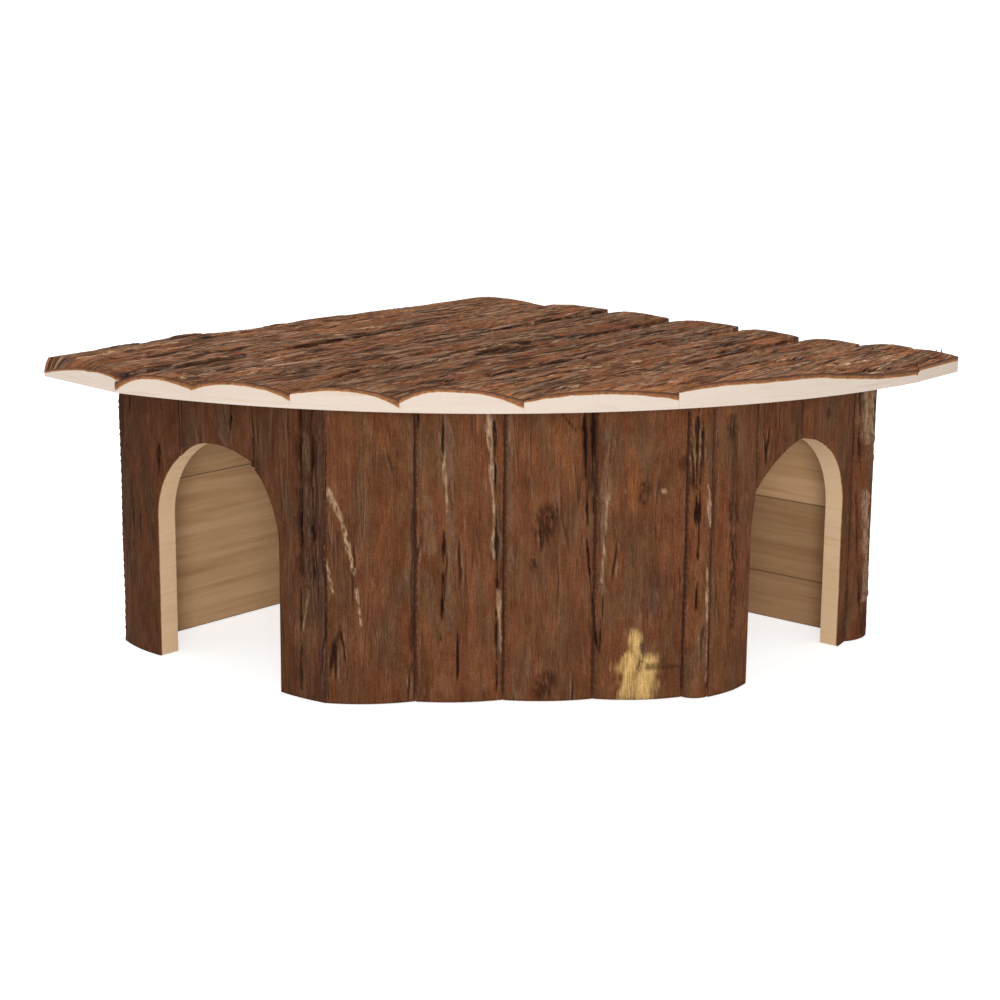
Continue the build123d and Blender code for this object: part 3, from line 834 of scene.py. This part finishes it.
# Boards, battens and brads keep their CAD shape: grain axis and tone of each
BATTEN = (0.95, 0.95, 0.95)
board_tones = {
    "left_back_board_lower": (0, (1.0, 1.0, 1.0)),
    "left_back_board_upper": (0, (0.97, 0.96, 0.95)),
    "left_back_batten": (0, BATTEN),
    "right_door_batten": (0, BATTEN),
    "front_top_batten": (0, BATTEN),
    "front_foot_batten": (0, BATTEN),
    "right_back_board_lower": (1, (0.68, 0.62, 0.6)),
    "right_back_board_middle": (1, (0.66, 0.6, 0.56)),
    "right_back_board_upper": (1, (1.0, 0.97, 0.95)),
    "right_back_batten": (1, BATTEN),
    "left_door_batten": (1, BATTEN),
    "back_corner_post": (2, BATTEN),
}
for number, (node, (axis, tone)) in enumerate(board_tones.items()):
    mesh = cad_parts[node].data
    mesh.materials.clear()
    low, high = (place[2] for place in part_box(node))
    mesh.materials.append(board_material(node, axis, tone, 3.1 * number, low, high))
for node in ("roof_brads", "wall_brads", "board_brads"):
    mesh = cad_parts[node].data
    mesh.materials.clear()
    mesh.materials.append(materials["brad_steel"])

# Marks on the bark of the walls: kind, where they start and end (from the wall's left end, from the floor),
# half width, and height over the bark
left_door_marks = (
    ("crack", (12, 142), (13.5, 108), 1.0, -1.6),
    ("crack", (13, 84), (14, 60), 0.6, -0.9),
    ("purple", (8, 96), (8, 50), 3.0, 0.9),
    ("dip", (4, 142), (4, 96), 2.4, -0.8),
    ("grey", (80, 142), (80, 108), 3.0, 0.4),
    ("crack", (84, 142), (83, 112), 0.6, -1.0),
    ("crack", (35, 104), (34, 84), 0.9, -0.9),
    ("dip", (131, 142), (131, 62), 5.5, -0.7),
    ("crack", (127.5, 142), (127, 4), 1.0, -1.6),
    ("grey", (130.5, 120), (131.5, 52), 1.6, 1.0),
    ("crack", (134, 142), (134, 50), 0.9, -1.4),
    ("ridge", (132, 50), (125, 14), 0.5, 0.3),
    ("purple", (139, 142), (138, 0), 2.6, 0.2),
)
front_marks = (
    ("scratch", (1, 96), (7, 83), 1.1, 0.3),
    ("scratch", (7, 83), (12, 60), 0.8, 0.3),
    ("orange", (23, 119), (33, 105), 1.6, 0.1),
    ("orange", (29, 96), (22, 66), 0.8, 0.1),
    ("scratch", (0, 64), (3, 50), 0.8, 0.2),
    ("scratch", (13, 52), (15, 36), 0.6, 0.2),
    ("grey", (36, 112), (39, 88), 1.2, 0.5),
    ("grey", (37, 74), (38, 44), 2.0, 0.5),
    ("dip", (38, 86), (37, 14), 0.9, -0.5),
    ("crack", (39.5, 142), (40, 120), 0.8, -0.8),
    ("grey", (44, 92), (45, 68), 1.8, 0.4),
    ("grey", (51, 131), (54, 84), 2.4, 0.5),
    ("grey", (54.5, 84), (53, 34), 1.6, 0.3),
    ("ridge", (50, 120), (52.5, 86), 0.8, 0.5),
    ("crack", (50.2, 132), (50.4, 108), 0.7, -1.2),
    ("crack", (51, 82), (50, 28), 0.7, -1.1),
    ("crack", (57, 34), (57, 2), 0.7, -0.9),
    ("grey", (71, 131), (74, 66), 1.8, 0.6),
    ("ridge", (70, 131), (73.5, 66), 1.0, 0.6),
    ("crack", (72.5, 126), (74.5, 48), 0.7, -1.3),
    ("ridge", (75, 50), (76, 22), 0.6, 0.4),
    ("crack", (74, 40), (74.5, 0), 0.7, -1.0),
    ("grey", (79, 128), (80, 60), 1.4, 0.3),
    ("knot", (96, 84), (94, 74), 3.8, -0.4),
    ("crack", (98, 87), (98.5, 82), 0.5, -0.5),
    ("knot", (90, 63), (90, 61), 1.4, -0.4),
    ("crack", (94, 25), (94.5, 16), 0.8, -0.6),
    ("knot", (97, 10), (95, 3), 3.8, -0.4),
    ("crack", (101, 129), (108, 121), 0.9, -0.8),
    ("orange", (100, 120), (108, 96), 3.0, 0.0),
    ("dip", (113, 142), (114.5, 96), 3.2, -0.9),
    ("crack", (110.8, 142), (113.5, 80), 0.9, -1.4),
    ("crack", (115, 142), (116, 84), 0.8, -1.3),
    ("crack", (112.5, 80), (119, 20), 0.6, -1.1),
    ("crack", (121, 52), (119.5, 20), 0.5, -0.8),
    ("grey", (121, 118), (120.5, 50), 1.8, 0.4),
    ("ridge", (122, 92), (120, 54), 0.6, 0.4),
    ("knot", (138, 97), (137, 91), 1.6, -0.4),
    ("orange", (132, 112), (133, 88), 2.0, 0.0),
    ("scratch", (130, 95), (130, 94), 0.5, 0.2),
    ("scratch", (145, 95), (147, 94), 0.5, 0.2),
    ("purple", (144, 52), (142, 44), 3.0, -0.1),
    ("dip", (155, 108), (155, 106), 1.8, -0.6),
    ("bare", (136, 28), (136, 22), 2.6, -0.1),
    ("bare", (133, 20), (133, 2), 3.6, -0.2),
    ("bare", (141, 17), (140, 1), 3.6, -0.2),
    ("knot", (138, 18), (137, 14), 1.0, -0.3),
    ("dip", (141, 15), (158, 14), 1.0, -0.3),
    ("crack", (160.5, 142), (161, 74), 0.8, -1.6),
    ("crack", (162.5, 120), (162, 30), 0.6, -1.2),
    ("ridge", (166, 96), (168, 76), 0.7, 0.5),
    ("ridge", (166.5, 60), (168, 8), 0.5, 0.4),
)
right_door_marks = (
    ("knot", (10, 124), (10, 118), 3.0, -0.4),
    ("knot", (12, 88), (13, 80), 2.6, -0.5),
    ("knot", (12, 72), (14, 30), 2.2, -0.3),
    ("orange", (9, 70), (9, 20), 1.6, 0.0),
    ("knot", (88, 117), (88, 115), 1.2, -0.5),
    ("flake", (122.5, 134), (124, 99), 3.4, 1.2),
    ("dip", (129, 134), (130.5, 98), 1.7, 0.3),
    ("grey", (126, 98), (126, 84), 3.2, 1.1),
    ("strip", (124, 71), (128.5, 22), 3.0, 1.1),
    ("crack", (118, 134), (118.5, 104), 0.8, -1.5),
    ("crack", (118.5, 104), (120.5, 84), 1.4, -2.2),
    ("crack", (118.5, 72), (121.5, 34), 1.0, -1.9),
    ("crack", (121.5, 34), (126, 4), 0.8, -1.5),
    ("dip", (127.5, 12), (129.5, 0), 3.0, 0.3),
)

# Walls: which way each faces, the tones of its slabs and its marks
UP = (0.0, 0.0, 1.0)
diagonal = math.sqrt(0.5)
walls = {
    "left_door": ((-1.0, 0.0, 0.0), (0.56, 0.6, 0.68), left_door_marks),
    "front": ((-diagonal, -diagonal, 0.0), (0.86, 0.96, 0.96, 0.94, 1.02), front_marks),
    "right_door": ((0.0, -1.0, 0.0), (1.0, 0.84, 0.88, 0.95), right_door_marks),
}
seed = 100
for wall, (outward, tones, marks) in walls.items():
    side = np.cross(UP, outward)
    left_end = (mesh_arrays(f"{wall}_slab_1")[0] @ side).min()
    features = [
        (kind, (left_end + start[0], start[1]), (left_end + end[0], end[1]), width, depth)
        for kind, start, end, width, depth in marks
    ]
    for number, tone in enumerate(tones, 1):
        seed += SEED_STEP
        node = f"{wall}_slab_{number}"
        slab_piece(node, outward, UP, seed, tone, WALL_JOINT, WALL_BANDS, 0.0, features)

# Marks on the bark of the roof, placed from the walls' back corner towards the left and the right tip
roof_marks = (
    ("purple", (220, 0), (200, 0), 2.0, 0.7),
    ("dip", (217, 1), (204, 0), 1.6, 0.5),
    ("dip", (290.5, 0), (293.5, 44), 3.2, 0.0),
    ("crack", (222, 8), (196, 9), 1.2, -1.2),
    ("scratch", (286, 17), (250, 13), 0.8, 0.4),
    ("ridge", (250, 13), (225, 14), 0.5, 0.3),
    ("crack", (284, 13), (143, 10), 1.0, -0.9),
    ("crack", (276, 52), (250, 53), 1.8, -0.9),
    ("crack", (240, 40), (205, 42), 1.2, -0.7),
    ("ridge", (283, 84), (264, 82), 1.2, 0.6),
    ("crack", (285, 87), (262, 86), 1.8, -1.2),
    ("scratch", (93, 63), (92, 63), 1.1, 0.4),
    ("orange", (172, 66), (140, 66), 3.0, 0.0),
    ("crack", (92, 73), (78, 80), 1.8, -1.0),
    ("grey", (200, 96), (100, 88), 1.6, 0.3),
    ("crack", (262, 96), (214, 100), 2.0, -1.2),
    ("crack", (241, 130), (214, 124), 1.8, -1.2),
    ("crack", (214, 124), (165, 129), 1.6, -1.2),
    ("ridge", (160, 127), (120, 124), 0.8, 0.5),
    ("crack", (150, 130), (87, 123), 1.6, -1.2),
    ("dip", (200, 129), (175, 137), 1.6, -0.8),
    ("crack", (233, 165), (198, 171), 1.6, -1.2),
    ("crack", (190, 172), (110, 170), 1.4, -1.1),
    ("grey", (90, 160), (30, 158), 2.0, 0.4),
    ("crack", (92, 168), (40, 169), 1.4, -1.1),
    ("orange", (30, 162), (2, 160), 1.6, 0.2),
    ("crack", (69, 205), (17, 206), 2.0, -1.3),
    ("ridge", (108, 211), (92, 214), 0.8, 0.4),
    ("crack", (226, 228), (206, 237), 2.6, -1.2),
    ("orange", (190, 238), (120, 262), 6.0, 0.1),
    ("orange", (92, 241), (60, 246), 1.3, 0.2),
    ("orange", (50, 246), (9, 251), 1.5, 0.3),
    ("crack", (151, 247), (134, 248), 1.6, -0.9),
    ("crack", (70, 243), (36, 246), 1.4, -0.9),
    ("ridge", (74, 276), (38, 278), 0.8, 0.5),
    ("crack", (97, 277), (66, 288), 2.2, -1.4),
    ("crack", (66, 288), (40, 292), 2.0, -1.2),
    ("orange", (4, 268), (-8, 262), 1.6, 0.2),
)
features = [
    (kind, (start[1] - corner_y, corner_x - start[0]), (end[1] - corner_y, corner_x - end[0]), width, depth)
    for kind, start, end, width, depth in roof_marks
]

# The roof's reach from the walls' back corner, its top, where its joints end on the right, and its left tip
arc_places = mesh_arrays("roof_slab_4")[0]
roof_reach = np.hypot(corner_x - arc_places[:, 0], corner_y - arc_places[:, 1]).max()
roof_top = cad_high[2] / MM - 0.02
right_edge = 284 - corner_y
back_edge = mesh_arrays("roof_slab_1")[0]
back_edge = back_edge[back_edge[:, 1] > back_edge[:, 1].max() - 0.01]
tip_place = back_edge[np.argmin(back_edge[:, 0])]

# First slab: roll over its left end, swelling along its back edge and fall towards the back corner
end_drop, end_length = 5.9, 54
swelling_height, swelling_place, swelling_length = 0.5, -60, 60
fall_height, fall_length, fall_end = 1.3, 25, corner_x + 22.1

# Last slab: crown along its front edge
crown_height, crown_place, crown_length = 2.6, corner_x - 106, 42


def roof_lift(across, along):
    """Height that the first and the last slab's bark gains or loses over their solids."""
    along_end = across + tip_place[1]
    behind_end = along - tip_place[0] + 0.1 * along_end
    roll_width = 3 + 5 * ramp(along_end, 0, 14)
    first_slab = 1 - ramp(across + corner_y, 30, 44)
    over_end = -end_drop * np.clip(1 - along_end / end_length, 0, 1) ** 1.1
    over_end = over_end * np.clip(1 - behind_end / roll_width, 0, 1) ** 2
    falling = -fall_height * ramp(along - (fall_end - fall_length), 0, fall_length) * first_slab
    swelling = swelling_height * np.exp(-(((along - swelling_place) / swelling_length) ** 2)) * first_slab
    from_arc = roof_reach - np.hypot(corner_x - along, corner_y + across)
    crown = crown_height * np.exp(-(((along - crown_place) / crown_length) ** 2))
    crown = crown * (1 - ramp(from_arc, 4, 26)) * ramp(across + corner_y, 262, 276)
    return over_end + falling + swelling + crown


# Tone of each slab, and the bark's thickness at its left edge, crown and right edge
roof_slabs = (
    (1.66, (1.3, 1.3, 2.0)),
    (1.6, (4.8, BARK_LAYER, 3.2)),
    (1.42, (3.0, BARK_LAYER, 3.6)),
    (1.46, (1.0, BARK_LAYER, 4.0)),
    (1.72, (2.8, BARK_LAYER, 4.0)),
    (1.86, (1.2, BARK_LAYER, 3.0)),
    (1.86, (1.0, 2.4, 2.4)),
)


def roof_outline(node):
    """Outline of a roof slab seen from above, across and along the grain."""
    loop = outer_loop(*mesh_arrays(node), np.array(UP))
    return np.stack([-loop[:, 1], loop[:, 0]], axis=1)


ALONG_X = (1.0, 0.0, 0.0)
tip_edge = divided(roof_outline("roof_tip"), EDGE_STEP)
for number, (tone, bands) in enumerate(roof_slabs, 1):
    seed += SEED_STEP
    node = f"roof_slab_{number}"
    # The slab's long sides give the direction of its grain
    outline = roof_outline(node)
    runs = np.roll(outline, -1, axis=0) - outline
    long_runs = runs[(np.abs(runs[:, 1]) > 60) & (np.abs(runs[:, 0]) < 0.2 * np.abs(runs[:, 1]))]
    skew = float(np.mean(long_runs[:, 0] / long_runs[:, 1]))
    slab_piece(node, UP, ALONG_X, seed, tone, ROOF_JOINT, bands, skew, features, True, tip_edge)
last_edge = divided(roof_outline("roof_slab_7"), EDGE_STEP)


def splinter(name, root_place, end_place, width):
    """Thin pointed shred of bark that stands up from the roof's edge, places as a, b and height."""
    (root_a, root_b, root_z), (end_a, end_b, end_z) = root_place, end_place
    corners = [
        (corner_x - root_a - width, corner_y - root_b, root_z),
        (corner_x - root_a + width, corner_y - root_b, root_z),
        (corner_x - root_a, corner_y - root_b - width, root_z),
        (corner_x - end_a, corner_y - end_b, end_z),
    ]
    mesh = bpy.data.meshes.new(name)
    scaled = [tuple(value * MM for value in corner) for corner in corners]
    mesh.from_pydata(scaled, [], [(0, 1, 2), (0, 3, 1), (1, 3, 2), (2, 3, 0)])
    mesh.materials.append(materials["shred"])
    piece = placed(name, mesh)
    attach(piece, "root")


# Shreds at the right tip: root, end and half width
shreds = (
    ((-8.5, 288.0, 139.0), (-9.5, 287.2, 143.9), 1.0),
    ((-7.5, 286.0, 139.0), (-9.2, 284.5, 143.6), 0.8),
    ((-8.5, 291.0, 138.6), (-9.6, 294.0, 142.2), 0.8),
    ((-8.8, 294.0, 138.0), (-9.6, 296.5, 141.0), 0.7),
)
for number, shred in enumerate(shreds, 1):
    splinter(f"shred_{number}", *shred)

# The tip is the last slab's wood and bark, so it takes the last slab's seed and skew
bands = (BARK_LAYER,) * 3
slab_piece("roof_tip", UP, ALONG_X, seed, 1.6, TIP_JOINT, bands, skew, features, True, last_edge)


# Floor, lights and camera


def camera_white(lift):
    """Pale floor that a camera ray sees as white, with the object's shadow kept."""
    shader = Shader("floor_white")
    diffuse = shader.node("ShaderNodeBsdfDiffuse", {"Color": (0.8, 0.8, 0.8, 1)})
    glow = shader.node("ShaderNodeEmission", {"Color": (1, 1, 1, 1)})
    rays = shader.node("ShaderNodeLightPath")
    seen = shader.math("MAXIMUM", rays.outputs["Is Camera Ray"], rays.outputs["Is Glossy Ray"])
    seen = shader.math("MAXIMUM", seen, rays.outputs["Is Transmission Ray"])
    shader.fill(glow.inputs["Strength"], shader.math("MULTIPLY", seen, lift))
    total = shader.joined(shader.node("ShaderNodeAddShader"), diffuse.outputs[0], glow.outputs[0])
    shader.fill(shader.node("ShaderNodeOutputMaterial").inputs[0], total)
    return shader.owner


# Half width of the floor, how far it lies under the object, and the light that whitens it for the camera
floor_reach = 6.0
floor_drop = 0.0004
floor_lift = 0.7
floor_mesh = bpy.data.meshes.new("floor")
floor_corners = [(x * floor_reach, y * floor_reach, 0) for x, y in ((-1, -1), (1, -1), (1, 1), (-1, 1))]
floor_mesh.from_pydata(floor_corners, [], [(0, 1, 2, 3)])
floor = placed("floor", floor_mesh)
floor.location = (0, 0, -floor_drop)
floor_mesh.materials.append(camera_white(floor_lift))

shader = Shader("studio", bpy.data.worlds)
bpy.context.scene.world = shader.owner
rays = shader.node("ShaderNodeLightPath")
seen = shader.math("MAXIMUM", rays.outputs["Is Camera Ray"], rays.outputs["Is Glossy Ray"])
ambient, white = (
    shader.node("ShaderNodeBackground", {"Color": (1, 1, 1, 1), "Strength": strength}).outputs[0]
    for strength in (0.52, 1.0)
)
chosen = shader.joined(shader.node("ShaderNodeMixShader"), seen, ambient, white)
shader.fill(shader.node("ShaderNodeOutputWorld").inputs[0], chosen)

# Camera, fitted to the photo: place in metres, heading from +Y towards +X, tilt down and roll, in degrees
camera_place = Vector((-0.75392, -0.63745, 0.29782))
camera_heading = math.radians(49.483)
camera_tilt = math.radians(12.830)
camera_roll = math.radians(0.474)
camera_lens = 77.67

level = Vector((math.sin(camera_heading), math.cos(camera_heading), 0.0))
right = Vector((math.cos(camera_heading), -math.sin(camera_heading), 0.0))
up = Vector((0, 0, 1))
forward = level * math.cos(camera_tilt) - up * math.sin(camera_tilt)
up = up * math.cos(camera_tilt) + level * math.sin(camera_tilt)
turned_right = right * math.cos(camera_roll) + up * math.sin(camera_roll)
turned_up = up * math.cos(camera_roll) - right * math.sin(camera_roll)
camera_data = bpy.data.cameras.new("camera")
camera = placed("camera", camera_data)
camera_data.sensor_width = 36.0
camera_data.lens = camera_lens
camera.matrix_world = Matrix.Translation(camera_place) @ Matrix(
    (turned_right, turned_up, -forward)
).transposed().to_4x4()
bpy.context.scene.camera = camera


def area_light(name, place, size, power):
    """Round lamp that points at the object's middle."""
    light_data = bpy.data.lights.new(name, "AREA")
    light_data.shape = "DISK"
    light_data.size = size
    light_data.energy = power
    light = placed(name, light_data)
    light.location = place
    light.rotation_mode = "QUATERNION"
    light.rotation_quaternion = (Vector((0.0, 0.0, 0.07)) - Vector(place)).to_track_quat("-Z", "Y")


area_light("front", (-1.78, -1.52, 0.5), 0.9, 26.0)
area_light("top", (-0.2, 0.5, 1.8), 1.2, 17.0)

scene = bpy.context.scene
scene.view_settings.view_transform = "Standard"
